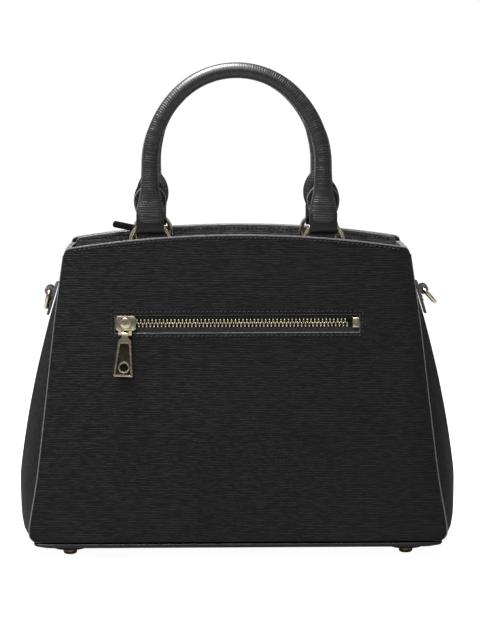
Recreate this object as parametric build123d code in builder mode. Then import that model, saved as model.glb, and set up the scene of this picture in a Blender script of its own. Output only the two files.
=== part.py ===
from build123d import *

import math
import os

os.makedirs("parts", exist_ok=True)

# A top-handle satchel bag. The origin is on the floor under the middle of the bag, +Z is up,
# the zip pocket is in the rear panel on the -Y side, and every length is in millimetres.

REAR = -1
FRONT = 1
LEFT = -1
RIGHT = 1

# Shell: the base stands on four feet, and both big panels lean in towards the mouth.
base_underside = 8.0
base_top = 10.9
wall_bottom = 11.2
wall_rise = 219.2
base_depth = 140.0
mouth_depth = 97.2
lean = math.atan((base_depth - mouth_depth) / 2 / wall_rise)
panel_height = wall_rise / math.cos(lean)
panel_corner_height = 210.4
panel_corner_half = 123.6
panel_corner_radius = 7.0

# Side edge of a panel: half width at a height up its slope, and how far the gusset
# bulges past that edge in the middle of its depth.
edge_stations = [
    (0.0, 147.0, 7.0),
    (7.0, 149.7, 7.8),
    (21.0, 148.0, 11.2),
    (45.0, 143.9, 14.7),
    (103.0, 137.0, 12.3),
    (149.0, 131.8, 6.9),
    (180.0, 127.8, 1.8),
    (206.0, 124.2, 0.3),
]

# Leather and fabric thicknesses, and the play left between sewn layers.
panel_thickness = 2.4
gusset_thickness = 2.0
facing_thickness = 1.3
fabric_thickness = 0.6
seam_play = 0.15
facing_low = 180.0
lining_y = 47.0
lining_bottom = 15.6
lining_top = 194.0

# Handle rings, their chapes and the handles.
ring_x = 62.0
ring_y = 40.3
ring_z = 224.8
ring_radius = 13.65
ring_wire = 1.55
chape_axis_z = 212.27
chape_width = 14.0
chape_low = 185.5
chape_bore = 3.0
chape_outer = 4.6
strap_axis_z = 235.95
strap_width = 19.6
strap_bore = 4.35
strap_outer = 6.1
roll_start_z = 245.0
roll_radius = 5.65
roll_bore = 4.4
core_radius = 4.3
roll_half_span = 61.8
leg_top_z = 279.1
shoulder_radius = 71.3
crown_radius = 57.5
shoulder_turn = 46.5
flange_top_z = 268.0
flare_radius = 7.2
flare_height = 20.0
flange_half_width = 11.6
flange_tip_half = 6.0
flange_inner = 4.4
flange_thickness = 2.0
strap_leaf_thickness = 1.9
front_handle_lean = 12.0

# Side D-rings and their leather tabs.
tab_axis_x = 136.4
tab_axis_z = 186.0
tab_width = 12.0
tab_bore = 1.8
tab_outer = 3.6
d_wire = 1.5
d_half_width = 10.0
d_drop = 13.0
d_corner = 3.0
left_ring_tilt = 13.0
right_ring_tilt = 41.5

# Zip, in the rear panel's own plane: x across, v up the slope.
window_v = 156.5
window_length = 174.4
window_height = 12.4
window_corner = 1.0
chain_v = 157.2
tooth_pitch = 2.7
tooth_width = 1.2
tooth_length = 3.5
tooth_overlap = 1.0
tooth_thickness = 2.0
tooth_depth = 1.7
chain_start_x = -85.0
chain_end_x = 81.4
tape_depth = 2.5
tape_thickness = 0.45
tape_width = 5.9
stop_x = 84.6
stop_length = 5.0
stop_height = 7.2
slider_x = -79.5
slider_length = 14.6
slider_height = 10.4
slider_front_depth = -0.3
slider_back_depth = 4.0
crown_x = -79.5
crown_v = 158.0
pull_swing = 3.0
yoke_depth = -2.1
yoke_thickness = 1.4
yoke_reach = 9.0
yoke_half_width = 4.7
yoke_arm = 2.1
yoke_bar = 0.5

# Feet.
foot_x = 121.0
foot_y = 48.0
pad_radius = 10.0
pad_bottom = 4.6
stud_radius = 5.0
shank_radius = 1.5
shank_play = 0.1


def save(piece, name):
    """Names a finished piece and writes its STEP file."""
    piece.label = name
    export_step(piece, f"parts/{name}.step")


def panel_plane(side, depth=0.0):
    """The outer face of the rear or front panel, moved depth into the bag, with y up the slope."""
    normal = (0, side * math.cos(lean), math.sin(lean))
    face = Plane(
        origin=(0, side * base_depth / 2, wall_bottom),
        x_dir=(-side, 0, 0),
        z_dir=normal,
    )
    return face.offset(-depth)


def slope_point(side, depth, v):
    """The (y, z) place of a point depth inside a panel's outer face and v up its slope."""
    inward = -side
    y = side * base_depth / 2 + inward * (v * math.sin(lean) + depth * math.cos(lean))
    z = wall_bottom + v * math.cos(lean) - depth * math.sin(lean)
    return (y, z)


def wall_layer(plane, thickness, low, high, inset, drop):
    """A layer with the panels' outline, inset at its sides and dropped at its top edge."""
    with BuildPart() as layer:
        with BuildSketch(plane):
            with BuildLine():
                corner_x = panel_corner_half - inset
                corner_v = panel_corner_height - drop
                top = ThreePointArc(
                    (-corner_x, corner_v), (0, panel_height - drop), (corner_x, corner_v)
                )
                edge = [(half - inset, v) for v, half, _ in edge_stations[-2:0:-1]]
                right = Spline(top @ 1, *edge)
                left = Spline(top @ 0, *[(-x, v) for x, v in edge])
                toe_x = edge_stations[0][1] - inset
                right_toe = Line(right @ 1, (toe_x, 0))
                left_toe = Line(left @ 1, (-toe_x, 0))
                Line(right_toe @ 1, left_toe @ 1)
            make_face()
            fillet(vertices().sort_by(Axis.Y)[-2:], panel_corner_radius)
            with Locations((0, (low + high) / 2)):
                Rectangle(2 * base_depth + mouth_depth, high - low, mode=Mode.INTERSECT)
        extrude(amount=-thickness)
    return layer.part


def side_layer(side, inset, thickness, stations, half_depth):
    """A bowed layer of a gusset, between the panels. half_depth gives its reach in y at a height."""
    with BuildPart() as layer:
        for v, half, bulge in stations:
            z = wall_bottom + v
            reach = half_depth(z)
            rim = half - 1.2 - inset
            crest = half + bulge - inset
            with BuildSketch(Plane.XY.offset(z)):
                with BuildLine():
                    outer = ThreePointArc(
                        (side * rim, -reach), (side * crest, 0), (side * rim, reach)
                    )
                    inner = ThreePointArc(
                        (side * (rim - thickness), -reach),
                        (side * (crest - thickness), 0),
                        (side * (rim - thickness), reach),
                    )
                    Line(outer @ 0, inner @ 0)
                    Line(outer @ 1, inner @ 1)
                make_face()
        loft(ruled=True)
    return layer.part


def station_at(v):
    """The edge and bulge at a height between two stations, in a straight line."""
    for low, high in zip(edge_stations, edge_stations[1:]):
        if low[0] <= v <= high[0]:
            share = (v - low[0]) / (high[0] - low[0])
            return (
                v,
                low[1] + share * (high[1] - low[1]),
                low[2] + share * (high[2] - low[2]),
            )
    return edge_stations[-1]


def wall_half_depth(z):
    """Half the depth of the bag at height z, out to the outer faces."""
    return base_depth / 2 - (z - wall_bottom) * math.tan(lean)


# ---- Shell ----

with BuildPart() as rear_panel:
    add(wall_layer(panel_plane(REAR), panel_thickness, 0, panel_height, 0, 0))
    with BuildSketch(panel_plane(REAR, -1)):
        with Locations((0, window_v)):
            RectangleRounded(window_length, window_height, window_corner)
    extrude(amount=-(panel_thickness + 2), mode=Mode.SUBTRACT)
save(rear_panel.part, "rear_panel")

with BuildPart() as front_panel:
    add(wall_layer(panel_plane(FRONT), panel_thickness, 0, panel_height, 0, 0))
save(front_panel.part, "front_panel")

facing_depth = panel_thickness + 0.1
for side, name in ((REAR, "rear_facing"), (FRONT, "front_facing")):
    with BuildPart() as facing:
        add(wall_layer(panel_plane(side, facing_depth), facing_thickness,
                       facing_low, panel_height, 3.5, 0.2))
    save(facing.part, name)

for side, name in ((REAR, "rear_lining"), (FRONT, "front_lining")):
    lining_plane = Plane(
        origin=(0, side * (lining_y + fabric_thickness), wall_bottom),
        x_dir=(-side, 0, 0),
        z_dir=(0, side, 0),
    )
    with BuildPart() as lining:
        add(wall_layer(lining_plane, fabric_thickness,
                       lining_bottom - wall_bottom, lining_top - wall_bottom, 5.5, 5.5))
    save(lining.part, name)

facing_stations = [station_at(v) for v in (facing_low, 193.0, 206.0)]
lining_stations = [station_at(lining_bottom - wall_bottom)]
lining_stations += edge_stations[2:6]
lining_stations += [station_at(lining_top - wall_bottom)]
for side, word in ((LEFT, "left"), (RIGHT, "right")):
    with BuildPart() as gusset:
        add(side_layer(side, 0, gusset_thickness, edge_stations,
                       lambda z: wall_half_depth(z) - panel_thickness - seam_play))
    save(gusset.part, f"{word}_gusset")
    with BuildPart() as gusset_facing:
        add(side_layer(side, gusset_thickness + 0.2, facing_thickness, facing_stations,
                       lambda z: wall_half_depth(z) - facing_depth - facing_thickness - 0.3))
    save(gusset_facing.part, f"{word}_gusset_facing")
    with BuildPart() as gusset_lining:
        add(side_layer(side, 4.2, fabric_thickness, lining_stations,
                       lambda z: lining_y - 0.2))
    save(gusset_lining.part, f"{word}_lining")

foot_places = [(x, y) for x in (-foot_x, foot_x) for y in (-foot_y, foot_y)]

with BuildPart() as base_panel:
    with BuildSketch(Plane.XY.offset(base_underside)):
        with BuildLine():
            end_x = edge_stations[0][1]
            crest_x = end_x + edge_stations[0][2]
            half_y = base_depth / 2
            right_end = ThreePointArc((end_x, -half_y), (crest_x, 0), (end_x, half_y))
            left_end = ThreePointArc((-end_x, -half_y), (-crest_x, 0), (-end_x, half_y))
            Line(right_end @ 0, left_end @ 0)
            Line(right_end @ 1, left_end @ 1)
        make_face()
        fillet(vertices(), 6.0)
    extrude(amount=base_top - base_underside)
    fillet(faces().sort_by(Axis.Z)[0].edges(), 1.2)
    with Locations(*[(x, y, base_underside) for x, y in foot_places]):
        Hole(shank_radius + shank_play)
save(base_panel.part, "base_panel")

board_top = base_top + 3.0
with BuildPart() as base_board:
    with BuildSketch(Plane.XY.offset(base_top)):
        RectangleRounded(284.0, 128.0, 8.0)
    extrude(amount=board_top - base_top)
    with Locations(*[(x, y, base_top) for x, y in foot_places]):
        Hole(shank_radius + shank_play)
save(base_board.part, "base_board")

with BuildPart() as base_lining:
    with BuildSketch(Plane.XY.offset(lining_bottom - fabric_thickness - 0.1)):
        RectangleRounded(282.0, 2 * lining_y, 3.0)
    extrude(amount=fabric_thickness)
save(base_lining.part, "base_lining")

# ---- Magnetic snap in the mouth, one half on each facing ----

snap_depth = facing_depth + facing_thickness + 0.05
snap_v = 200.0
with BuildPart() as snap_socket:
    with BuildSketch(panel_plane(FRONT, snap_depth)):
        with Locations((0, snap_v)):
            Circle(9.0)
    extrude(amount=-3.0)
    with BuildSketch(panel_plane(FRONT, snap_depth + 3.0)):
        with Locations((0, snap_v)):
            Circle(3.3)
    extrude(amount=2.0, mode=Mode.SUBTRACT)
save(snap_socket.part, "snap_socket")

with BuildPart() as snap_stud:
    with BuildSketch(panel_plane(REAR, snap_depth)):
        with Locations((0, snap_v)):
            Circle(9.0)
    extrude(amount=-1.6)
    with BuildSketch(panel_plane(REAR, snap_depth + 1.6)):
        with Locations((0, snap_v)):
            Circle(3.0)
    extrude(amount=-1.8)
save(snap_stud.part, "snap_stud")

# ---- Zip pocket ----

with BuildPart() as zip_tape:
    with BuildSketch(panel_plane(REAR, tape_depth)):
        tape_offset = tooth_length - tooth_overlap / 2 + 0.1 + tape_width / 2
        with Locations((0, chain_v + tape_offset), (0, chain_v - tape_offset)):
            Rectangle(window_length + 6.0, tape_width)
        with Locations((stop_x, chain_v)):
            Rectangle(stop_length + 0.2, stop_height + 0.2, mode=Mode.SUBTRACT)
    extrude(amount=-tape_thickness)
save(zip_tape.part, "zip_tape")

tooth_count = int((chain_end_x - chain_start_x) / tooth_pitch)
tooth_offset = (tooth_length - tooth_overlap) / 2
with BuildPart() as zip_teeth:
    with BuildSketch(panel_plane(REAR, tooth_depth)):
        upper_x = [chain_start_x + i * tooth_pitch for i in range(tooth_count)]
        lower_x = [x + tooth_pitch / 2 for x in upper_x]
        with Locations(*[(x, chain_v + tooth_offset) for x in upper_x]):
            Rectangle(tooth_width, tooth_length)
        with Locations(*[(x, chain_v - tooth_offset) for x in lower_x]):
            Rectangle(tooth_width, tooth_length)
    extrude(amount=-tooth_thickness)
save(zip_teeth.part, "zip_teeth")

with BuildPart() as zip_stops:
    with BuildSketch(panel_plane(REAR, tooth_depth - 0.4)):
        with Locations((stop_x, chain_v)):
            RectangleRounded(stop_length, stop_height, 0.6)
    extrude(amount=-(tooth_thickness + 0.8))
save(zip_stops.part, "zip_stops")

with BuildPart() as zip_slider:
    for depth, thickness in ((slider_front_depth, 1.7), (slider_back_depth, 1.2)):
        with BuildSketch(panel_plane(REAR, depth)):
            with Locations((slider_x, chain_v)):
                RectangleRounded(slider_length, slider_height, 2.2)
        extrude(amount=-thickness)
    with BuildSketch(panel_plane(REAR, slider_front_depth)):
        with Locations((crown_x, crown_v)):
            Circle(1.9)
    extrude(amount=3.5)
    with BuildSketch(panel_plane(REAR, yoke_depth - yoke_thickness - 0.1)):
        with Locations((crown_x, crown_v)):
            Circle(3.4)
    extrude(amount=1.2, taper=25)
save(zip_slider.part, "zip_slider")

# The yoke and the pull hang from the slider's post, turned a little to one side.
swing = math.radians(pull_swing)
crown_face = panel_plane(REAR, yoke_depth)
crown_point = crown_face.from_local_coords(Vector(crown_x, crown_v, 0))
hang_plane = Plane(
    origin=crown_point,
    x_dir=crown_face.x_dir.rotate(Axis((0, 0, 0), crown_face.z_dir), -pull_swing),
    z_dir=crown_face.z_dir,
)
with BuildPart() as zip_yoke:
    with BuildSketch(hang_plane):
        Circle(yoke_half_width)
        with Locations((0, -yoke_reach / 2)):
            Rectangle(2 * yoke_half_width, yoke_reach)
        with Locations((0, -yoke_reach)):
            Rectangle(2 * (yoke_half_width - yoke_arm), 2 * yoke_reach - 6.4 - 2.4,
                      mode=Mode.SUBTRACT)
        Circle(2.0, mode=Mode.SUBTRACT)
    extrude(amount=yoke_thickness)
    bar_half = yoke_half_width - yoke_arm / 2
    bar_plane = Plane(
        origin=hang_plane.from_local_coords(
            Vector(-bar_half, -yoke_reach + 0.9, yoke_thickness / 2)
        ),
        x_dir=hang_plane.y_dir,
        z_dir=hang_plane.x_dir,
    )
    with BuildSketch(bar_plane):
        Circle(yoke_bar)
    extrude(amount=2 * bar_half)
save(zip_yoke.part, "zip_yoke")

pull_half_top = 4.5
pull_half_bottom = 6.8
pull_shoulder = -13.0
pull_end = -38.6
pull_thickness = 1.8
eye_half = 2.4
with BuildPart() as zip_pull:
    with BuildSketch(Plane(origin=hang_plane.from_local_coords(
            Vector(-eye_half, -yoke_reach + 0.9, yoke_thickness / 2)),
            x_dir=hang_plane.y_dir, z_dir=hang_plane.x_dir)):
        Circle(1.3)
    extrude(amount=2 * eye_half)
    pull_back = hang_plane.offset(yoke_thickness / 2 - pull_thickness / 2)
    with BuildSketch(pull_back):
        with BuildLine():
            FilletPolyline(
                (-pull_half_top, pull_shoulder),
                (-pull_half_bottom, pull_end),
                (pull_half_bottom, pull_end),
                (pull_half_top, pull_shoulder),
                (eye_half, pull_shoulder + 2.2),
                (-eye_half, pull_shoulder + 2.2),
                radius=0.5,
                close=True,
            )
        make_face()
        with Locations((0, (pull_shoulder - yoke_reach) / 2 + 0.6)):
            Rectangle(2 * eye_half, 5.6)
        with Locations((0.4, -32.0)):
            Circle(3.0, mode=Mode.SUBTRACT)
    extrude(amount=pull_thickness)
    with BuildSketch(pull_back.offset(pull_thickness)):
        with BuildLine():
            Polyline(
                (-pull_half_top + 1.3, pull_shoulder - 2.2),
                (-pull_half_bottom + 1.4, pull_end + 1.3),
                (pull_half_bottom - 1.4, pull_end + 1.3),
                (pull_half_top - 1.3, pull_shoulder - 2.2),
                close=True,
            )
        make_face()
        with Locations((0.4, -32.0)):
            Circle(4.1, mode=Mode.SUBTRACT)
    extrude(amount=-0.6, mode=Mode.SUBTRACT)
    with BuildSketch(bar_plane.offset(-2.0)):
        Circle(yoke_bar + 0.1)
    extrude(amount=2 * bar_half + 4.0, mode=Mode.SUBTRACT)
save(zip_pull.part, "zip_pull")

pocket_half = 92.0
pocket_low_v = 25.0
pocket_sheet_depth = 3.1
pocket_back_y = -48.3
pocket_high_v = 151.0
pocket_fabric = 0.5
pocket_top_z = 178.0
with BuildPart() as pocket_front:
    with BuildSketch(panel_plane(REAR, pocket_sheet_depth)):
        with Locations((0, (pocket_low_v + pocket_high_v) / 2)):
            Rectangle(2 * pocket_half, pocket_high_v - pocket_low_v)
    extrude(amount=-pocket_fabric)
save(pocket_front.part, "pocket_front")

pocket_bottom_z = slope_point(REAR, pocket_sheet_depth, pocket_low_v)[1]
with BuildPart() as pocket_back:
    with Locations((0, pocket_back_y - pocket_fabric / 2, (pocket_bottom_z + pocket_top_z) / 2)):
        Box(2 * pocket_half, pocket_fabric, pocket_top_z - pocket_bottom_z)
save(pocket_back.part, "pocket_back")

with BuildPart() as pocket_sides:
    wedge = [
        slope_point(REAR, pocket_sheet_depth + 0.55, pocket_low_v + 0.6),
        slope_point(REAR, pocket_sheet_depth + 0.55, 150.0),
        (pocket_back_y - 0.55, 161.0),
        (pocket_back_y - 0.55, pocket_bottom_z + 0.4),
    ]
    for start in (-pocket_half, pocket_half - 0.5):
        with BuildSketch(Plane.YZ.offset(start)):
            Polygon(*wedge, align=None)
        extrude(amount=0.5)
    with BuildSketch(Plane.YZ.offset(-pocket_half)):
        low_y, low_z = wedge[0]
        Polygon(
            (low_y, low_z),
            (pocket_back_y - 0.55, low_z),
            (pocket_back_y - 0.55, low_z + 0.6),
            (low_y + 0.1, low_z + 0.6),
            align=None,
        )
    extrude(amount=2 * pocket_half)
save(pocket_sides.part, "pocket_sides")


# ---- Handles, rings and chapes ----

def ring_chapes(side):
    """Two leather loops on a facing, each with a ring's lower arc running through it."""
    with BuildPart() as chapes:
        inner = facing_depth + facing_thickness + 0.05
        stem = [
            slope_point(side, inner, chape_low),
            slope_point(side, inner, 201.0),
            slope_point(side, inner + 2.4, 203.5),
            slope_point(side, inner + 6.2, 199.8),
            slope_point(side, inner + 3.2, 195.0),
            slope_point(side, inner + 3.2, chape_low),
        ]
        for x in (-ring_x, ring_x):
            with BuildSketch(Plane.YZ.offset(x - chape_width / 2)):
                with Locations((side * ring_y, chape_axis_z)):
                    Circle(chape_outer)
                Polygon(*stem, align=None)
                with Locations((side * ring_y, chape_axis_z)):
                    Circle(chape_bore, mode=Mode.SUBTRACT)
            extrude(amount=chape_width)
    return chapes.part


def handle_rings(side):
    """The two round rings that carry one handle."""
    with BuildPart() as rings:
        with Locations((-ring_x, side * ring_y, ring_z), (ring_x, side * ring_y, ring_z)):
            Torus(ring_radius, ring_wire, rotation=(90, 0, 0))
    return rings.part


def handle_plane(side, inward=0.0):
    """An upright plane through a handle, moved inward towards the middle of the bag."""
    return Plane(
        origin=(0, side * (ring_y - inward), 0), x_dir=(-side, 0, 0), z_dir=(0, side, 0)
    )


def handle_path(start_z):
    """Centre line of the rolled handle: a straight leg, shoulder, crown, shoulder and leg."""
    leg = Line((roll_half_span, start_z), (roll_half_span, leg_top_z))
    shoulder = JernArc(leg @ 1, leg % 1, shoulder_radius, shoulder_turn)
    crown = JernArc(shoulder @ 1, shoulder % 1, crown_radius, 180 - 2 * shoulder_turn)
    fall = JernArc(crown @ 1, crown % 1, shoulder_radius, shoulder_turn)
    Line(fall @ 1, (-roll_half_span, start_z))


def flange(side, x, low_z, inward, thickness):
    """Leaf-shaped flat end of a handle, centred on x, from inward towards the bag's middle."""
    with BuildPart() as leaf:
        with BuildSketch(handle_plane(side, inward)):
            with BuildLine():
                right = ThreePointArc(
                    (x + strap_width / 2, low_z),
                    (x + flange_half_width, low_z + 12.0),
                    (x + flange_tip_half, flange_top_z),
                )
                left = ThreePointArc(
                    (x - strap_width / 2, low_z),
                    (x - flange_half_width, low_z + 12.0),
                    (x - flange_tip_half, flange_top_z),
                )
                Line(right @ 0, left @ 0)
                Line(right @ 1, left @ 1)
            make_face()
        extrude(amount=-thickness)
    return leaf.part


def handle_wrap(side):
    """Leather roll of a handle, with a flat flange at each end and a bore for its core."""
    with BuildPart() as wrap:
        with BuildLine(handle_plane(side)) as route:
            handle_path(roll_start_z + flare_height)
        with BuildSketch(Plane(origin=route.line @ 0, z_dir=route.line % 0)):
            Circle(roll_radius)
        sweep()
        with Locations(
            (-roll_half_span, side * ring_y, roll_start_z + flare_height / 2),
            (roll_half_span, side * ring_y, roll_start_z + flare_height / 2),
        ):
            Cone(flare_radius, roll_radius, flare_height)
        for x in (-roll_half_span, roll_half_span):
            add(flange(side, x, roll_start_z, flange_inner - flange_thickness, flange_thickness))
        slab_half = flange_half_width + 3.0
        with BuildSketch(handle_plane(side, flange_inner)):
            for x in (-roll_half_span, roll_half_span):
                with Locations((x, (roll_start_z + flange_top_z) / 2)):
                    Rectangle(2 * slab_half, flange_top_z - roll_start_z)
        extrude(amount=-6.0, mode=Mode.SUBTRACT)
    return wrap.part


def handle_core(side, start_z, radius):
    """Round filler along a handle's centre line."""
    with BuildPart() as core:
        with BuildLine(handle_plane(side)) as route:
            handle_path(start_z)
        with BuildSketch(Plane(origin=route.line @ 0, z_dir=route.line % 0)):
            Circle(radius)
        sweep()
    return core.part


def handle_straps(side):
    """The two strap ends of a handle, folded round the rings' upper arcs and up its back."""
    def across(inward):
        return side * (ring_y - inward)

    with BuildPart() as straps:
        for x in (-roll_half_span, roll_half_span):
            with BuildSketch(Plane.YZ.offset(x - strap_width / 2)):
                with Locations((across(0), strap_axis_z)):
                    Circle(strap_outer)
                Polygon(
                    (across(-strap_outer), strap_axis_z),
                    (across(-roll_radius), roll_start_z),
                    (across(flange_inner + strap_leaf_thickness), roll_start_z),
                    (across(strap_outer), strap_axis_z),
                    align=None,
                )
                with Locations((across(0), strap_axis_z)):
                    Circle(strap_bore, mode=Mode.SUBTRACT)
            extrude(amount=strap_width)
            add(flange(side, x, roll_start_z - 0.2, flange_inner, strap_leaf_thickness))
    return straps.part


def leaned(piece, side):
    """The front handle's pieces lean out from upright about their straps' axis at rest."""
    if side == REAR:
        return piece
    return piece.rotate(Axis((0, side * ring_y, strap_axis_z), (1, 0, 0)), -front_handle_lean)


for side, word in ((REAR, "rear"), (FRONT, "front")):
    save(ring_chapes(side), f"{word}_ring_chapes")
    save(handle_rings(side), f"{word}_rings")
    save(leaned(handle_straps(side), side), f"{word}_handle_straps")
    with BuildPart() as wrap:
        add(handle_wrap(side))
        add(handle_core(side, roll_start_z + 4.0, roll_bore), mode=Mode.SUBTRACT)
    save(leaned(wrap.part, side), f"{word}_handle_wrap")
    core = handle_core(side, roll_start_z + 4.5, core_radius)
    save(leaned(core, side), f"{word}_handle_core")

# ---- Short strap looped round the left ring of the front handle ----

hang_angle = math.radians(12.0)
hang_out = Vector(-math.cos(hang_angle), 0, math.sin(hang_angle))
hang_along = Vector(math.sin(hang_angle), 0, math.cos(hang_angle))
hang_centre = Vector(-ring_x, ring_y, ring_z) + hang_out * ring_radius
hang_width = 4.8
hang_loop_radius = 2.8
hang_bore = 1.95
hang_tail_length = 14.2
hang_tail_thickness = 2.6
hang_tail_middle = 9.6
hang_loop = Plane(
    origin=hang_centre - hang_along * (hang_width / 2), x_dir=hang_out, z_dir=hang_along
)
with BuildPart() as hang_strap:
    with BuildSketch(hang_loop):
        Circle(hang_loop_radius)
        with Locations((hang_tail_middle, 0)):
            Rectangle(hang_tail_length, hang_tail_thickness)
        Circle(hang_bore, mode=Mode.SUBTRACT)
    extrude(amount=hang_width)
    tail_end = edges().filter_by(Axis.Y).sort_by(Axis.X)[0:2]
    fillet(tail_end, 2.0)
save(hang_strap.part, "hang_strap")


# ---- Side tabs and D-rings ----

def strap_tab(side):
    """Leather tab sewn to a gusset, with a loop at its top for the D-ring's straight bar."""
    with BuildPart() as tab:
        with BuildSketch(Plane.XZ.offset(-tab_width / 2)):
            with Locations((side * tab_axis_x, tab_axis_z)):
                Circle(tab_outer)
            Polygon(
                (side * 130.0, 192.0),
                (side * 137.2, 168.0),
                (side * 139.0, 168.6),
                (side * 134.2, 184.4),
                (side * 132.2, 191.6),
                align=None,
            )
            with Locations((side * tab_axis_x, tab_axis_z)):
                Circle(tab_bore, mode=Mode.SUBTRACT)
        extrude(amount=tab_width)
    return tab.part


def d_ring(side, tilt):
    """A D-ring whose straight bar lies along y in the tab's loop, tilted outwards from hanging."""
    lean_out = math.radians(tilt)
    face = Plane(
        origin=(side * tab_axis_x, 0, tab_axis_z),
        x_dir=(0, 1, 0),
        z_dir=(math.cos(lean_out), 0, side * math.sin(lean_out)),
    )
    with BuildPart() as ring:
        with BuildLine(face) as loop:
            bar = Line((0, 0), (d_half_width - d_corner, 0))
            right = JernArc(bar @ 1, bar % 1, d_corner, -90)
            bow = ThreePointArc(
                right @ 1, (0, -d_drop), (-d_half_width, -d_corner)
            )
            left = JernArc(bow @ 1, (0, 1), d_corner, -90)
            Line(left @ 1, (0, 0))
        with BuildSketch(Plane(origin=loop.line @ 0, z_dir=loop.line % 0)):
            Circle(d_wire)
        sweep()
    return ring.part


for side, word, tilt in ((LEFT, "left", left_ring_tilt), (RIGHT, "right", right_ring_tilt)):
    save(strap_tab(side), f"{word}_strap_tab")
    save(d_ring(side, tilt), f"{word}_d_ring")

# ---- Feet ----

with BuildPart() as foot_pads:
    with BuildSketch(Plane.XY.offset(pad_bottom)):
        with Locations(*foot_places):
            Circle(pad_radius)
            Circle(shank_radius + shank_play, mode=Mode.SUBTRACT)
    extrude(amount=base_underside - pad_bottom)
save(foot_pads.part, "foot_pads")

washer_top = board_top + 0.9
with BuildPart() as foot_studs:
    for x, y in foot_places:
        with BuildSketch(Plane(origin=(x, y, 0), x_dir=(1, 0, 0), z_dir=(0, -1, 0))):
            with BuildLine():
                Polyline((stud_radius, 2.2), (stud_radius, pad_bottom), (shank_radius, pad_bottom),
                         (shank_radius, washer_top), (0, washer_top), (0, 0), (3.2, 0))
                ThreePointArc((3.2, 0), (4.5, 0.7), (stud_radius, 2.2))
            make_face()
        revolve(axis=Axis((x, y, 0), (0, 0, 1)))
save(foot_studs.part, "foot_studs")

with BuildPart() as foot_washers:
    with BuildSketch(Plane.XY.offset(board_top)):
        with Locations(*foot_places):
            Circle(6.0)
            Circle(shank_radius + shank_play, mode=Mode.SUBTRACT)
    extrude(amount=washer_top - board_top)
save(foot_washers.part, "foot_washers")

# ---- Numbers that the record repeats ----

yoke_bar_centre = bar_plane.from_local_coords(Vector(0, 0, bar_half))
print("slope angle", math.degrees(lean))
print("yoke axis", crown_point, hang_plane.z_dir)
print("pull axis", yoke_bar_centre, hang_plane.x_dir)
print("hang strap", hang_centre, hang_along)
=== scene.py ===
"""Leather, stitching, fabric and metal of a top-handle satchel bag, built round its CAD frame."""

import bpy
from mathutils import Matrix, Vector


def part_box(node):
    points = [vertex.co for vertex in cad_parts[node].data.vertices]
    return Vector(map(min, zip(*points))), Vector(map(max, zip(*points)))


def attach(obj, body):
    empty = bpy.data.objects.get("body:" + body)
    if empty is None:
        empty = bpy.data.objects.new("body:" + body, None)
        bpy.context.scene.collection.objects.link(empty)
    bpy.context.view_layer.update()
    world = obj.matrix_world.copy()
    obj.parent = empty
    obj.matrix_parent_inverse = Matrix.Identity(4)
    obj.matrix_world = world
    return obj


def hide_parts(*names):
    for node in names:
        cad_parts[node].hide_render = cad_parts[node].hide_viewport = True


bl_info = {
    "name": "Satchel Bag",
    "version": (1, 0, 0),
    "blender": (4, 5, 0),
    "location": "View3D > Sidebar > Satchel",
    "description": "Builds the leather, stitching and metal of a top-handle satchel bag",
    "category": "Object",
}

import math

import bmesh
import bpy
from bpy.props import FloatProperty, FloatVectorProperty, IntProperty, PointerProperty
from mathutils import Matrix, Vector

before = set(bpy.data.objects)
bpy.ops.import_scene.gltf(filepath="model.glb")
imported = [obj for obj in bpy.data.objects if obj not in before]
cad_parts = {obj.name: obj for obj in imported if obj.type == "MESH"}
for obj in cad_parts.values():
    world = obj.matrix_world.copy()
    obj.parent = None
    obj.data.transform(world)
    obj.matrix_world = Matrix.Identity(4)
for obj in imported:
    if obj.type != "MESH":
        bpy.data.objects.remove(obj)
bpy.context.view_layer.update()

REAR, FRONT = -1, 1
LEFT, RIGHT = -1, 1
SIDES = ((REAR, "rear"), (FRONT, "front"))
ENDS = ((LEFT, "left"), (RIGHT, "right"))

# The sizes that the CAD frame is drawn to, in metres. v is a height measured up a panel's slope.
WALL_BOTTOM = 0.0112
WALL_RISE = 0.2192
BASE_HALF_DEPTH = 0.070
MOUTH_HALF_DEPTH = 0.0486
LEAN = math.atan((BASE_HALF_DEPTH - MOUTH_HALF_DEPTH) / WALL_RISE)
PANEL_TOP = WALL_RISE / math.cos(LEAN)
CORNER_V = 0.2104
CORNER_HALF = 0.1236
CORNER_RADIUS = 0.0045
EDGE_STATIONS = (
    (0.0, 0.147, 0.007),
    (0.007, 0.1497, 0.0078),
    (0.021, 0.148, 0.0112),
    (0.045, 0.1439, 0.0147),
    (0.103, 0.137, 0.0123),
    (0.149, 0.1318, 0.0069),
    (0.180, 0.1278, 0.0018),
    (0.206, 0.1242, 0.0003),
)
PANEL_THICKNESS = 0.0024
GUSSET_THICKNESS = 0.002
SEAM_TUCK = 0.0012
PLEAT_DEPTH, PLEAT_SHARE = 0.0005, 0.22
BASE_TOP, BASE_THICKNESS = 0.0109, 0.0029
FACING_DEPTH = 0.0025
FACING_THICKNESS = 0.0013
FACING_LOW = 0.180
LINING_Y = 0.047
LINING_LOW, LINING_HIGH = 0.0156, 0.194
WINDOW_V, WINDOW_HALF, WINDOW_RISE = 0.1565, 0.0872, 0.0062
CHAIN_V, TOOTH_PITCH, TOOTH_COUNT, CHAIN_START = 0.1572, 0.0027, 61, -0.085
SLIDER_X, SLIDER_FACE = -0.0795, -0.0036
RING_X, RING_Y = 0.062, 0.0403
ROLL_SPAN, ROLL_RADIUS, ROLL_START = 0.0618, 0.00565, 0.245
LEG_TOP, SHOULDER_RADIUS, CROWN_RADIUS = 0.2791, 0.0713, 0.0575
SHOULDER_TURN = math.radians(46.5)
LEAF_TOP, LEAF_HALF, STRAP_HALF = 0.268, 0.0116, 0.0098
LEAF_DEPTH = 0.0024
FOLD_TOP = 0.2385
STRAP_AXIS_Z = 0.23595
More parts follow.
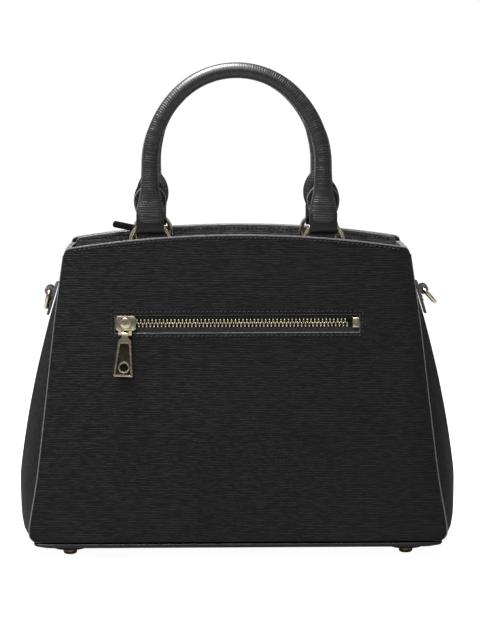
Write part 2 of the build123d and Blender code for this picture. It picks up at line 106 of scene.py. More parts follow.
FRONT_LEAN = math.radians(12.0)
TOE_TUCK, TOE_RISE = 0.0048, 0.0055
BASE_CORNER = 0.003
PAD_RADIUS, PAD_GROWTH = 0.010, 1.2
CROWN_WIDTH, CROWN_RISE = 0.0037, 0.00125
POCKET_HALF, POCKET_DEPTH, POCKET_LOW = 0.092, 0.0031, 0.025
TAB_STITCH_Y, TAB_STITCH_ENDS = 0.0040, ((0.13692, 0.1765), (0.13505, 0.1825))

CORE_RADIUS, EDGE_BEAD = 0.0043, 0.00048
STITCH_INSET = 0.0019
SMALL_STITCH = 0.8
THREAD_SLANT, THREAD_FLATNESS = 0.12, 0.45
CUT_EDGE = 0.9
WELD_DISTANCE = 2e-6
FLAT_ANGLE, COPY_EDGE_ANGLE, LEATHER_EDGE_ANGLE = 1.5, 35, 50

# Where the panels' meshes have their lines: up the slope, and as shares of the half width.
ROW_SPLIT, COLUMN_SPLIT = 0.180, 0.6
PANEL_ROWS = (0.0, 0.0007, 0.0016, 0.0028, 0.0045, 0.007, 0.010, 0.014, 0.023, 0.034, 0.048,
              0.063, 0.078, 0.093, 0.108, 0.122, 0.134, 0.143, 0.170)
TOP_SHARES = (0.0, 0.25, 0.5, 0.7, 0.85, 0.972, 1.0)
OUTER_COLUMNS = (0.67, 0.74, 0.81, 0.87, 0.92, 0.94, 0.96, 0.977, 0.9945, 1.0)


# ---- Sizes and colours that a user may change ----

class SatchelSizes(bpy.types.PropertyGroup):
    """Sizes of the sewing and of the soft edges."""

    stitch_pitch: FloatProperty(
        name="Stitch pitch", description="Distance from one topstitch to the next",
        default=0.0033, unit="LENGTH")
    stitch_length: FloatProperty(
        name="Stitch length", description="Visible length of one topstitch",
        default=0.0025, unit="LENGTH")
    stitch_width: FloatProperty(
        name="Thread width", description="Width of the topstitching thread",
        default=0.0009, unit="LENGTH")
    edge_round: FloatProperty(
        name="Edge rounding", description="Radius of a painted leather edge",
        default=0.0007, unit="LENGTH")
    metal_round: FloatProperty(
        name="Metal rounding", description="Radius of a polished metal edge",
        default=0.00025, unit="LENGTH")
    roll_sides: IntProperty(
        name="Roll sides", description="Faces round a handle roll", default=28)


class SatchelColours(bpy.types.PropertyGroup):
    """Colours of the leather, thread, fabric and metal."""

    leather: FloatVectorProperty(
        name="Leather", description="Colour of the grained leather",
        default=(0.0056, 0.0056, 0.0058), size=3, subtype="COLOR")
    edge: FloatVectorProperty(
        name="Edge paint", description="Colour of the painted leather edges",
        default=(0.15, 0.15, 0.152), size=3, subtype="COLOR")
    thread: FloatVectorProperty(
        name="Thread", description="Colour of the topstitching",
        default=(0.014, 0.014, 0.015), size=3, subtype="COLOR")
    lining: FloatVectorProperty(
        name="Lining", description="Colour of the woven lining",
        default=(0.02, 0.02, 0.021), size=3, subtype="COLOR")
    gold: FloatVectorProperty(
        name="Pale gold", description="Colour of the rings, zip and pull",
        default=(0.95, 0.83, 0.60), size=3, subtype="COLOR")
    brass: FloatVectorProperty(
        name="Aged brass", description="Colour of the feet and of the zip teeth",
        default=(0.52, 0.38, 0.20), size=3, subtype="COLOR")


def sizes():
    """The sizes set in the panel."""
    return bpy.context.scene.satchel_sizes


def colours():
    """The colours set in the panel."""
    return bpy.context.scene.satchel_colours


# ---- Shape of the bag ----

def blend_up(value, start, end):
    """0 before start, 1 after end, and a smooth rise between them."""
    share = min(1.0, max(0.0, (value - start) / (end - start)))
    return share * share * (3 - 2 * share)


def station_slope(index, item):
    """Slope of an edge measure at a station, from the stations beside it."""
    low = EDGE_STATIONS[max(0, index - 1)]
    high = EDGE_STATIONS[min(len(EDGE_STATIONS) - 1, index + 1)]
    return (high[item] - low[item]) / (high[0] - low[0])


def edge_at(v):
    """Half width of the panels, and the gusset's bulge past it, at v up the slope."""
    toe = TOE_TUCK * (1 - math.sqrt(1 - (1 - min(max(v, 0.0), TOE_RISE) / TOE_RISE) ** 2))
    v = min(max(v, 0.0), EDGE_STATIONS[-1][0])
    index = max(i for i in range(len(EDGE_STATIONS) - 1) if EDGE_STATIONS[i][0] <= v)
    low, high = EDGE_STATIONS[index], EDGE_STATIONS[index + 1]
    span = high[0] - low[0]
    t = (v - low[0]) / span
    result = []
    for item in (1, 2):
        start, end = (station_slope(i, item) * span for i in (index, index + 1))
        result.append(
            (2 * t**3 - 3 * t**2 + 1) * low[item] + (t**3 - 2 * t**2 + t) * start
            + (3 * t**2 - 2 * t**3) * high[item] + (t**3 - t**2) * end
        )
    return [result[0] - toe, result[1]]


def panel_top(x):
    """Height up the slope of a panel's top edge at x, an arc with rounded corners."""
    rise = PANEL_TOP - CORNER_V
    radius = (CORNER_HALF**2 + rise**2) / (2 * rise)
    top = PANEL_TOP - radius + math.sqrt(radius**2 - x * x)
    past = min(max(abs(x) - (CORNER_HALF - CORNER_RADIUS), 0.0), CORNER_RADIUS)
    return top - (CORNER_RADIUS - math.sqrt(CORNER_RADIUS**2 - past**2))


def panel_point(side, depth, x, v):
    """The place of a point depth inside a panel's outer face."""
    inward = v * math.sin(LEAN) + depth * math.cos(LEAN)
    return Vector((
        x,
        side * (BASE_HALF_DEPTH - inward),
        WALL_BOTTOM + v * math.cos(LEAN) - depth * math.sin(LEAN),
    ))


def panel_normal(side):
    """The way a panel faces."""
    return Vector((0, side * math.cos(LEAN), math.sin(LEAN)))


def panel_swell(x, v):
    """How far a panel's filled middle stands out below the zip."""
    across = max(0.0, 1 - (x / 0.135) ** 2)
    turned = blend_up(abs(x) / edge_at(v)[0], 0.90, 1.02)
    return 0.0011 * across * math.sin(math.pi * min(1.0, v / 0.142)) ** 2 - 0.0012 * turned


def wall_half_depth(z):
    """How far a panel's outer face is from the bag's middle at height z."""
    return BASE_HALF_DEPTH - (z - WALL_BOTTOM) * math.tan(LEAN)


def gusset_half_width(c, v):
    """The bag's half width at c across a gusset, -1 to 1, and v up the slope."""
    half, bulge = edge_at(v)
    return half - SEAM_TUCK + (bulge + SEAM_TUCK) * (1 - c * c)


def gusset_pleat(c, v):
    """How far a gusset's middle folds in near its top."""
    return PLEAT_DEPTH * math.exp(-((c / PLEAT_SHARE) ** 2)) * blend_up(v, 0.09, 0.2)


def spread(start, end, count):
    """count + 1 even steps from start to end."""
    return [start + (end - start) * i / count for i in range(count + 1)]


# ---- Modelling steps ----

def clear():
    """Leaves edit mode and selects nothing."""
    if bpy.context.mode != "OBJECT":
        bpy.ops.object.mode_set(mode="OBJECT")
    bpy.ops.object.select_all(action="DESELECT")


def pick(obj):
    """Selects one piece and makes it active."""
    clear()
    obj.select_set(True)
    bpy.context.view_layer.objects.active = obj
    return obj


def named(name):
    """Names the new primitive, and puts its place into its mesh."""
    obj = bpy.context.object
    obj.name = obj.data.name = name
    bpy.ops.object.transform_apply(location=True, rotation=True, scale=True)
    return obj


def in_edit(obj, *steps):
    """Runs edit mode steps on all of a piece's faces."""
    pick(obj)
    bpy.ops.object.mode_set(mode="EDIT")
    bpy.ops.mesh.select_mode(type="VERT")
    for step in steps:
        bpy.ops.mesh.select_all(action="SELECT")
        step()
    bpy.ops.object.mode_set(mode="OBJECT")
    return obj


def outwards():
    bpy.ops.mesh.normals_make_consistent(inside=False)


def weld():
    bpy.ops.mesh.remove_doubles(threshold=WELD_DISTANCE)


def modify(obj, kind, **settings):
    """Adds a modifier with these settings and applies it."""
    pick(obj)
    modifier = obj.modifiers.new(kind.title(), kind)
    for key, value in settings.items():
        setattr(modifier, key, value)
    bpy.ops.object.modifier_apply(modifier=modifier.name)
    return obj


def smooth(obj, angle=40):
    """Shades a piece smooth, but for edges over an angle."""
    pick(obj)
    bpy.ops.object.shade_smooth_by_angle(angle=math.radians(angle))
    return obj


def coat(obj, *looks):
    """Gives a piece its finishes, in slot order."""
    obj.data.materials.clear()
    for look in looks:
        obj.data.materials.append(finish[look])
    return obj


def grid(name, columns, rows, place, facing):
    """A grid with a line at each column and row, put in place by place(column, row).

    facing is the way its front looks."""
    clear()
    bpy.ops.mesh.primitive_grid_add(
        x_subdivisions=len(columns) - 1, y_subdivisions=len(rows) - 1, size=2)
    obj = named(name)
    if len(obj.data.vertices) != len(columns) * len(rows):
        raise RuntimeError(f"{name}: the grid has {len(obj.data.vertices)} points")
    for vertex in obj.data.vertices:
        i = round((vertex.co.x + 1) / 2 * (len(columns) - 1))
        j = round((vertex.co.y + 1) / 2 * (len(rows) - 1))
        vertex.co = place(columns[i], rows[j])
    obj.data.update()
    middle = obj.data.polygons[len(obj.data.polygons) // 2]
    if middle.normal.dot(Vector(facing)) < 0:
        in_edit(obj, lambda: bpy.ops.mesh.flip_normals())
    return obj


def thicken(obj, thickness, rounding, segments=3):
    """Gives a sheet of leather its thickness behind its front, with a rounded painted edge."""
    modify(obj, "SOLIDIFY", thickness=thickness, offset=-1.0, use_even_offset=True,
           material_offset_rim=1)
    modify(obj, "BEVEL", width=rounding, segments=segments, limit_method="ANGLE",
           angle_limit=math.radians(LEATHER_EDGE_ANGLE), material=1)
    return smooth(obj, LEATHER_EDGE_ANGLE)


def leather_sheet(obj, look, thickness, rounding, node, segments=3):
    """Finishes a flat piece of leather and mounts it on the bag."""
    coat(obj, look, "edge_paint")
    thicken(obj, thickness, rounding, segments)
    return mount(obj, "bag", "grained_leather", node)


def merged_copy(node, name):
    """A welded copy of a CAD node's mesh, with its flat faces made whole."""
    clear()
    obj = bpy.data.objects.new(name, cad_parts[node].data.copy())
    obj.data.name = name
    bpy.context.scene.collection.objects.link(obj)
    pick(obj)
    bpy.ops.mesh.customdata_custom_splitnormals_clear()
    return in_edit(
        obj, weld,
        lambda: bpy.ops.mesh.dissolve_limited(angle_limit=math.radians(FLAT_ANGLE)))


def soften(obj, rounding, segments=2):
    """Rounds a piece's sharp edges."""
    modify(obj, "BEVEL", width=rounding, segments=segments, limit_method="ANGLE",
           angle_limit=math.radians(COPY_EDGE_ANGLE), material=-1, harden_normals=False)
    return smooth(obj, COPY_EDGE_ANGLE)


def leather_copy(node, name, body, rounding=0.0005):
    """Strap leather shaped like a CAD node, with painted cut edges across X."""
    obj = coat(merged_copy(node, name), "strap_leather", "edge_paint")
    modify(obj, "TRIANGULATE")
    for face in obj.data.polygons:
        face.material_index = int(abs(face.normal.x) > CUT_EDGE)
    soften(in_edit(obj, lambda: bpy.ops.mesh.tris_convert_to_quads()), rounding, 3)
    return mount(obj, body, "strap_leather", node)


def hard_copy(node, name, body, look, rounding=None):
    """A hard piece shaped like a CAD node, with its edges rounded so that they catch the light."""
    obj = coat(merged_copy(node, name), look)
    soften(obj, rounding or sizes().metal_round)
    return mount(obj, body, look, node)


def lean_out(obj, side):
    """Tips a piece of the front handle out about its straps' axis, as the handle rests."""
    if side == FRONT:
        axis = Vector((0, RING_Y, STRAP_AXIS_Z))
        turn = Matrix.Rotation(-FRONT_LEAN, 4, "X")
        obj.data.transform(Matrix.Translation(axis) @ turn @ Matrix.Translation(-axis))
    return obj


def mount(obj, body, slot, *nodes):
    """Rides a finished piece on its body, in place of its CAD nodes."""
    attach(obj, body)
    if nodes:
        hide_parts(*nodes)
    return obj


def join(name, pieces):
    """Joins pieces into one, which keeps the first one's materials in order."""
    clear()
    for piece in pieces:
        piece.select_set(True)
    bpy.context.view_layer.objects.active = pieces[0]
    bpy.ops.object.join()
    pieces[0].name = pieces[0].data.name = name
    return pieces[0]


def walk(points, pitch):
    """(place, direction) at every pitch along a line of points, centred on it."""
    lengths = [(b - a).length for a, b in zip(points, points[1:])]
    total = sum(lengths)
    count = max(1, int(total / pitch))
    spots = []
    for number in range(count):
        left = total / 2 + (number - (count - 1) / 2) * pitch
        for start, end, length in zip(points, points[1:], lengths):
            if left <= length:
                way = (end - start) / length
                spots.append((start + way * left, way))
                break
            left -= length
    return spots


def stitches(name, body, lines, scale=1.0):
    """Topstitches along lines of (points, normal), each a small thread loop sunk at its ends."""
    clear()
    bpy.ops.mesh.primitive_uv_sphere_add(segments=6, ring_count=4, radius=1)
    one = named(name)
    length, width = sizes().stitch_length * scale, sizes().stitch_width * scale
    rows = bmesh.new()
    for points, normal in lines:
        for place, way in walk(points, sizes().stitch_pitch * scale):
            normal = Vector(normal)
            side = normal.cross(way).normalized()
            up = way.cross(side)
            slant = (way + side * THREAD_SLANT).normalized()
            before = len(rows.verts)
            rows.from_mesh(one.data)
            rows.verts.ensure_lookup_table()
            axes = (slant * length / 2, up * width * THREAD_FLATNESS, side * width / 2)
            turn = Matrix(axes).transposed()
            for vertex in rows.verts[before:]:
                vertex.co = place + turn @ Vector((vertex.co.z, vertex.co.x, vertex.co.y))
    rows.to_mesh(one.data)
    rows.free()
    in_edit(one, outwards)
    pick(one)
    bpy.ops.object.shade_smooth()
    coat(one, "thread")
    return mount(one, body, "strap_leather")


# ---- Finishes ----

finish = {}


def node_group(name, inputs, outputs):
    """An empty shader node group with these inputs and outputs, and its two end nodes."""
    tree = bpy.data.node_groups.new(name, "ShaderNodeTree")
    for label, kind, value in inputs:
        socket = tree.interface.new_socket(label, in_out="INPUT", socket_type=kind)
        if value is not None:
            socket.default_value = value
    for label, kind in outputs:
        tree.interface.new_socket(label, in_out="OUTPUT", socket_type=kind)
    return tree, tree.nodes.new("NodeGroupInput"), tree.nodes.new("NodeGroupOutput")


def feed(tree, node, **sources):
    """Puts a value or another node's socket into a node's inputs, by label, or i and a number."""
    for key, source in sources.items():
        numbered = key[0] == "i" and key[1:].isdigit()
        socket = node.inputs[int(key[1:]) if numbered else key.replace("_", " ")]
        if isinstance(source, bpy.types.NodeSocket):
            tree.links.new(source, socket)
        else:
            socket.default_value = source


def add_node(tree, kind, settings=(), **sources):
    """A node with these settings, whose inputs are fed from the sources."""
    node = tree.nodes.new(kind)
    for key, value in dict(settings).items():
        setattr(node, key, value)
    feed(tree, node, **sources)
    return node


def vector_math(tree, operation, first, second):
    return add_node(tree, "ShaderNodeVectorMath", {"operation": operation},
                    i0=first, i1=second).outputs[0]


def math_node(tree, operation, first, second=0.0, third=0.0):
    return add_node(tree, "ShaderNodeMath", {"operation": operation},
                    i0=first, i1=second, i2=third).outputs[0]


def map_range(tree, value, low, high, to_low=0.0, to_high=1.0, kind="SMOOTHSTEP"):
    return add_node(tree, "ShaderNodeMapRange", {"interpolation_type": kind}, Value=value,
                    From_Min=low, From_Max=high, To_Min=to_low, To_Max=to_high).outputs["Result"]


def noise(tree, vector, scale, detail=2.0, roughness=0.5, distortion=0.0):
    return add_node(tree, "ShaderNodeTexNoise", Vector=vector, Scale=scale, Detail=detail,
                    Roughness=roughness, Distortion=distortion).outputs["Fac"]


def make_cross_grain():
    """Fine irregular ribs that run across, from a place whose third part is up the leather."""
    tree, start, end = node_group(
        "Cross grain",
        (("Place", "NodeSocketVector", None), ("Lines", "NodeSocketFloat", 560.0),
         ("Run", "NodeSocketFloat", 34.0), ("Wander", "NodeSocketFloat", 1.4)),
        (("Height", "NodeSocketFloat"), ("Ridge", "NodeSocketFloat"), ("Patch", "NodeSocketFloat")))
    stretch = add_node(tree, "ShaderNodeCombineXYZ", X=start.outputs["Run"],
                       Y=start.outputs["Run"], Z=start.outputs["Lines"]).outputs[0]
    wavy = vector_math(tree, "MULTIPLY", start.outputs["Place"], stretch)
    drift = math_node(tree, "MULTIPLY", math_node(tree, "SUBTRACT", noise(
        tree, vector_math(tree, "MULTIPLY", wavy, (1.0, 1.0, 0.33)), 1.0, 2.5, 0.55), 0.5),
        start.outputs["Wander"])
    up = add_node(tree, "ShaderNodeSeparateXYZ", Vector=wavy).outputs[2]
    turns = math_node(tree, "MULTIPLY", math_node(tree, "ADD", up, drift), 2 * math.pi)
    rib = map_range(tree, math_node(tree, "COSINE", turns), -0.75, 0.7)
    breaks = noise(tree, vector_math(tree, "ADD", vector_math(
        tree, "MULTIPLY", wavy, (3.4, 3.4, 0.8)), (7.3, 2.1, 4.4)), 1.0, 1.5, 0.5)
    ridge = math_node(tree, "MULTIPLY", rib, map_range(tree, breaks, 0.34, 0.6, 0.4, 1.0))
    pores = noise(tree, start.outputs["Place"], 3200.0, 1.0)
    rough = math_node(tree, "MULTIPLY_ADD", pores, 0.14, math_node(tree, "MULTIPLY", breaks, 0.25))
    height = math_node(tree, "ADD", math_node(tree, "MULTIPLY", ridge, 0.8), rough)
    patch = noise(tree, start.outputs["Place"], 16.0, 3.0, 0.6)
    feed(tree, end, Height=height, Ridge=ridge, Patch=patch)
    return tree


def make_streaks():
    """Fine polishing streaks and soft smudges for metal."""
    tree, start, end = node_group(
        "Polishing streaks",
        (("Place", "NodeSocketVector", None), ("Fineness", "NodeSocketFloat", 2600.0)),
        (("Streak", "NodeSocketFloat"), ("Smudge", "NodeSocketFloat")))
    along = vector_math(tree, "MULTIPLY", start.outputs["Place"], (0.05, 0.6, 1.0))
    feed(tree, end, Streak=noise(tree, along, start.outputs["Fineness"]),
         Smudge=noise(tree, start.outputs["Place"], 240.0, 3.0, 0.6))
    return tree


def make_weave():
    """A plain weave: threads that pass over and under each other."""
    tree, start, end = node_group(
        "Plain weave",
        (("Place", "NodeSocketVector", None), ("Threads", "NodeSocketFloat", 1500.0)),
        (("Height", "NodeSocketFloat"), ("Slub", "NodeSocketFloat")))
    threads = dict.fromkeys("XYZ", start.outputs["Threads"])
    scaled = vector_math(tree, "MULTIPLY", start.outputs["Place"],
                         add_node(tree, "ShaderNodeCombineXYZ", **threads).outputs[0])
    parts = add_node(tree, "ShaderNodeSeparateXYZ", Vector=scaled).outputs
    level = math_node(tree, "ADD", parts[0], parts[1])
    warp = math_node(tree, "SINE", math_node(tree, "MULTIPLY", level, math.pi))
    weft = math_node(tree, "SINE", math_node(tree, "MULTIPLY", parts[2], math.pi))
    stretched = vector_math(tree, "MULTIPLY", start.outputs["Place"], (60, 60, 900))
    feed(tree, end, Height=math_node(tree, "MULTIPLY", warp, weft),
         Slub=noise(tree, stretched, 1.0, 2.0))
    return tree


def new_material(name, attribute=None, **values):
    """A material whose shader has these plain values, with the place that its pattern reads."""
    material = bpy.data.materials.new(name)
    material.use_nodes = True
    tree = material.node_tree
    shader = next(n for n in tree.nodes if n.type == "BSDF_PRINCIPLED")
    feed(tree, shader, **values)
    if attribute:
        place = add_node(
            tree, "ShaderNodeAttribute", {"attribute_name": attribute}).outputs["Vector"]
    else:
        place = add_node(tree, "ShaderNodeTexCoord").outputs["Object"]
    finish[name] = material
    return tree, shader, place


def use_group(tree, group, **sources):
    return add_node(tree, "ShaderNodeGroup", {"node_tree": group}, **sources).outputs


def shade(colour, factor):
    """A colour made brighter or darker."""
    return tuple(min(1.0, channel * factor) for channel in colour)


def tint(tree, factor, colour, low, high):
    """A colour made darker or brighter, from low times it to high times it, by factor."""
    return add_node(tree, "ShaderNodeMix", {"data_type": "RGBA"}, i0=factor,
                    i6=(*shade(colour, low), 1), i7=(*shade(colour, high), 1)).outputs[2]


def bump(tree, shader, height, distance, strength=1.0):
    raised = add_node(
        tree, "ShaderNodeBump", Height=height, Distance=distance, Strength=strength)
    feed(tree, shader, Normal=raised.outputs["Normal"])


def leather_material(name, grain, lines, run, depth, gloss, attribute=None, contrast=1.0,
                     lacquer=0.0, specular=0.42, tone=1.0):
    """Leather with ribs this fine across and along, this deep, and this rough on top. Its colour is
    painted lighter on the rib crests, by up to 1 + 1.3 times contrast: partly the grain's own tone,
    partly painted highlight where the ribs catch the light. tone scales the whole colour, which the
    finishes use for lit and shaded copies of one leather, painted light.
    """
    tree, shader, place = new_material(
        name, attribute, Specular_IOR_Level=specular, Coat_Weight=lacquer, Coat_Roughness=0.38)
    out = use_group(tree, grain, Place=place, Lines=lines, Run=run)
    highlight_patchiness = map_range(tree, out["Patch"], 0.3, 0.7, 0.65, 1.0)
    ridge = math_node(tree, "MULTIPLY", out["Ridge"], highlight_patchiness)
    # Painted highlight: the rib crests, dimmed in random patches, are painted lighter than the
    # leather, and tone makes the whole colour lighter or darker as painted light.
    feed(tree, shader, Base_Color=tint(tree, ridge, shade(colours().leather, tone),
                                       1 - 0.6 * contrast, 1 + 1.3 * contrast),
         Roughness=map_range(tree, out["Ridge"], 0, 1, gloss + 0.16, gloss))
    bump(tree, shader, out["Height"], depth)


def metal_material(name, streaks, colour, rough, fineness=2600.0, tarnish=0.75):
    """Metal with smudges down to tarnish times its colour, and streaks."""
    tree, shader, place = new_material(name, Metallic=1.0)
    out = use_group(tree, streaks, Place=place, Fineness=fineness)
    clean = map_range(tree, out["Smudge"], 0.35, 0.7)
    feed(tree, shader, Base_Color=tint(tree, clean, colour, tarnish, 1.0),
         Roughness=map_range(tree, out["Streak"], 0.3, 0.7, rough, rough + 0.14))
    bump(tree, shader, out["Streak"], 0.00002, 0.6)


def make_finishes():
    """Every finish of the bag."""
    grain, streaks, weave = make_cross_grain(), make_streaks(), make_weave()
    tones = colours()
    leather_material("grained_leather", grain, 850.0, 50.0, 0.00012, 0.37, specular=0.2)
    # The gussets' leather: the grained leather, rougher and with less specular, and its colour
    # painted 0.8 times as dark, painted shade on the side gussets.
    leather_material("painted_shade_gusset_leather", grain, 850.0, 50.0, 0.00012, 0.52, specular=0.12, tone=0.8)
    # The facings' leather: the grained leather a little smoother and glossier, with its colour
    # painted 14 times as light, painted light on the facings inside the mouth, which are lit from
    # above.
    leather_material("painted_light_facing_leather", grain, 850.0, 50.0, 0.00014, 0.30, tone=14.0)
    # The handle rolls' leather: a real glossy coat, and its colour painted twice as light with its
    # ribs painted 1.6 times as contrasty, painted highlight on the rolled handles.
    leather_material("painted_highlight_rolled_leather", grain, 620.0, 16.0, 0.00017, 0.30,
                     attribute="straightened", contrast=1.6, lacquer=0.7, tone=2.0)
    leather_material("strap_leather", grain, 820.0, 120.0, 0.00006, 0.30, contrast=0.4)
    tree, shader, place = new_material("edge_paint", Specular_IOR_Level=0.55)
    ripple = noise(tree, place, 420.0, 2.0)
    feed(tree, shader, Base_Color=tint(tree, ripple, tones.edge, 0.7, 1.25),
         Roughness=map_range(tree, ripple, 0.3, 0.7, 0.26, 0.42))
    bump(tree, shader, ripple, 0.00015)
    tree, shader, place = new_material("thread", Roughness=0.6, Specular_IOR_Level=0.25)
    twist = add_node(tree, "ShaderNodeTexWave", {"bands_direction": "DIAGONAL"}, Vector=place,
                     Scale=900.0, Distortion=0.4).outputs["Fac"]
    feed(tree, shader, Base_Color=tint(tree, twist, tones.thread, 0.6, 2.2))
    bump(tree, shader, twist, 0.0001)
    for name, tone, threads, rough in (("lining_fabric", tones.lining, 1500.0, 0.62),
                                       ("zip_tape", shade(tones.lining, 0.8), 2200.0, 0.8),
                                       ("stiffener", (0.11, 0.10, 0.09), 700.0, 0.9),
                                       ("handle_core", (0.25, 0.24, 0.21), 800.0, 0.9)):
        tree, shader, place = new_material(name, Sheen_Weight=0.15)
        out = use_group(tree, weave, Place=place, Threads=threads)
        mix = math_node(tree, "MULTIPLY_ADD", out["Height"], 0.25, out["Slub"])
        feed(tree, shader, Base_Color=tint(tree, mix, tone, 0.6, 1.6),
             Roughness=map_range(tree, out["Slub"], 0.3, 0.7, rough, rough + 0.1))
        bump(tree, shader, out["Height"], 0.00012)
    metal_material("pale_gold", streaks, tones.gold, 0.14)
    metal_material("brushed_gold", streaks, shade(tones.gold, 0.05), 0.5, 5200.0, 0.5)
    metal_material("aged_brass", streaks, tones.brass, 0.26, 1800.0, 0.5)
    metal_material("nickel", streaks, (0.62, 0.61, 0.58), 0.2)


# ---- Shell ----

def wall_columns():
    """Where a wall's mesh has its lines across, from -1 to 1."""
    inner = spread(-COLUMN_SPLIT, COLUMN_SPLIT, 28)
    return [*(-c for c in reversed(OUTER_COLUMNS)), *inner, *OUTER_COLUMNS]


def wall_layer(name, side, depth, low, inset=0.0, drop=0.0, swell=False, extra=()):
    """A grid in the panels' outline, depth inside a panel's outer face and up from low."""
    lower = [v for v in (*PANEL_ROWS, *extra) if v > low + 0.001]
    rows = [(v, 0.0) for v in sorted([low, *lower])] if low < ROW_SPLIT else []
    rows += [(max(low, ROW_SPLIT), share) for share in TOP_SHARES]

    def place(column, row):
        base, share = row
        v, x = base, 0.0
        for _ in range(6):
            half = edge_at(v)[0] - inset
            reach = abs(column)
            if reach <= COLUMN_SPLIT:
                x = reach / COLUMN_SPLIT * WINDOW_HALF
            else:
                past = (reach - COLUMN_SPLIT) / (1 - COLUMN_SPLIT)
                x = WINDOW_HALF + past * (half - WINDOW_HALF)
            top = panel_top(x * CORNER_HALF / (CORNER_HALF - inset)) - drop
            v = base + share * (top - base)
        x = math.copysign(x, column)
        return panel_point(side, depth - (panel_swell(x, v) if swell else 0.0), x, v)

    return grid(name, wall_columns(), rows, place, (0, side, 0))


def cut_size(obj, across):
    """(width, length) of a grid of cloth laid flat, with this many points across."""
    points = [vertex.co for vertex in obj.data.vertices]
    rows = [points[i:i + across] for i in range(0, len(points), across)]

    def run(line):
        return sum((b - a).length for a, b in zip(line, line[1:]))

    return max(run(row) for row in rows), max(run(column) for column in zip(*rows))


def top_row(side, depth, drop, half):
    """The line of a topstitch row under a panel's top edge."""
    return [panel_point(side, depth, x, panel_top(x) - drop) for x in spread(-half, half, 60)]


def cut_window(obj, low, high):
    """Deletes the faces of a panel inside the zip window, between two heights."""
    in_edit(obj, lambda: bpy.ops.mesh.select_mode(type="FACE"),
            lambda: bpy.ops.mesh.select_all(action="DESELECT"))
    for face in obj.data.polygons:
        face.select = abs(face.center.x) < WINDOW_HALF and low < face.center.z < high
    bpy.ops.object.mode_set(mode="EDIT")
    bpy.ops.mesh.delete(type="FACE")
    bpy.ops.object.mode_set(mode="OBJECT")


class SATCHEL_OT_panels(bpy.types.Operator):
    """Builds the rear panel with its zip window, and the front panel, with their topstitching"""

    bl_idname = "satchel.panels"
    bl_label = "Panels"

    def execute(self, context):
        window_rows = (WINDOW_V - WINDOW_RISE, WINDOW_V, WINDOW_V + WINDOW_RISE)
        for side, word in SIDES:
            obj = wall_layer(f"{word}_leather_panel", side, 0.0, 0.0009, swell=True,
                             extra=(0.1475, *window_rows, 0.1655))
            coat(obj, "grained_leather", "edge_paint")
            across = len(wall_columns()) - 1
            last = len(obj.data.polygons) // across - 1
            for face in obj.data.polygons:
                on_side = face.index % across in (0, across - 1)
                face.material_index = int(on_side or face.index // across == last)
            if side == REAR:
                cut_window(obj, *(panel_point(side, 0, 0, window_rows[i]).z for i in (0, 2)))
            thicken(obj, PANEL_THICKNESS, sizes().edge_round)
            for face in obj.data.polygons:
                if face.center.z < WALL_BOTTOM + 0.003 and abs(face.center.x) < 0.14:
                    face.material_index = 0
            mount(obj, "bag", "grained_leather", f"{word}_panel")
            lines = [(top_row(side, 0.0, 0.0026, 0.1175), panel_normal(side))]
            if side == REAR:
                x, out = WINDOW_HALF + 0.0023, WINDOW_RISE + 0.0024
                corners = [(-x, -out), (x, -out), (x, out), (-x, out), (-x, -out)]
                for ends in zip(corners, corners[1:]):
                    row = [panel_point(side, 0.0, a, WINDOW_V + b) for a, b in ends]
                    lines.append((row, panel_normal(side)))
            stitches(f"{word}_panel_stitches", "bag", lines)
        return {"FINISHED"}


class SATCHEL_OT_gussets(bpy.types.Operator):
    """Builds the two bowed side gussets, soft at their tops, and the base with its rounded edge"""

    bl_idname = "satchel.gussets"
    bl_label = "Gussets and base"

    def execute(self, context):
        heights = sorted({0.0007, 0.0016, 0.0028, 0.0045, *spread(0.0, 0.206, 34)})
        for side, word in ENDS:
            def place(c, v):
                z = WALL_BOTTOM + v
                reach = wall_half_depth(z) - PANEL_THICKNESS - 0.00015
                ease = 0.0004 * math.sin(9 * c + 40 * v) * (1 - c * c) * blend_up(v, 0.0, 0.04)
                x = gusset_half_width(c, v) - gusset_pleat(c, v) + ease
                return Vector((side * x, c * reach, z))

            obj = grid(f"{word}_leather_gusset", spread(-1, 1, 26), heights, place, (side, 0, 0))
            # The gussets get the leather whose colour is darkened as painted shade.
            leather_sheet(obj, "painted_shade_gusset_leather", GUSSET_THICKNESS, 0.0006, f"{word}_gusset")

        def base_place(c, r):
            y = r * BASE_HALF_DEPTH
            past = min(BASE_CORNER, max(0.0, abs(y) - (BASE_HALF_DEPTH - BASE_CORNER)))
            corner = BASE_CORNER - math.sqrt(BASE_CORNER**2 - past**2)
            return Vector((c * (0.1452 + 0.0045 * (1 - r * r) - corner), y, BASE_TOP))

        rim = [0.925, 0.95, 0.975, 0.99, 1.0]
        rows = [*(-r for r in reversed(rim)), *spread(-0.9, 0.9, 18), *rim]
        obj = grid("leather_base", spread(-1, 1, 40), rows, base_place, (0, 0, 1))
        coat(obj, "grained_leather", "strap_leather")
        thicken(obj, BASE_THICKNESS, 0.0011, 4)
        for vertex in obj.data.vertices:
            past = min(1.0, max(0.0, (abs(vertex.co.x) - 0.131) / 0.016))
            vertex.co.z += 0.8 * past**2 * (BASE_TOP - vertex.co.z)
        mount(obj, "bag", "grained_leather", "base_panel")
        return {"FINISHED"}


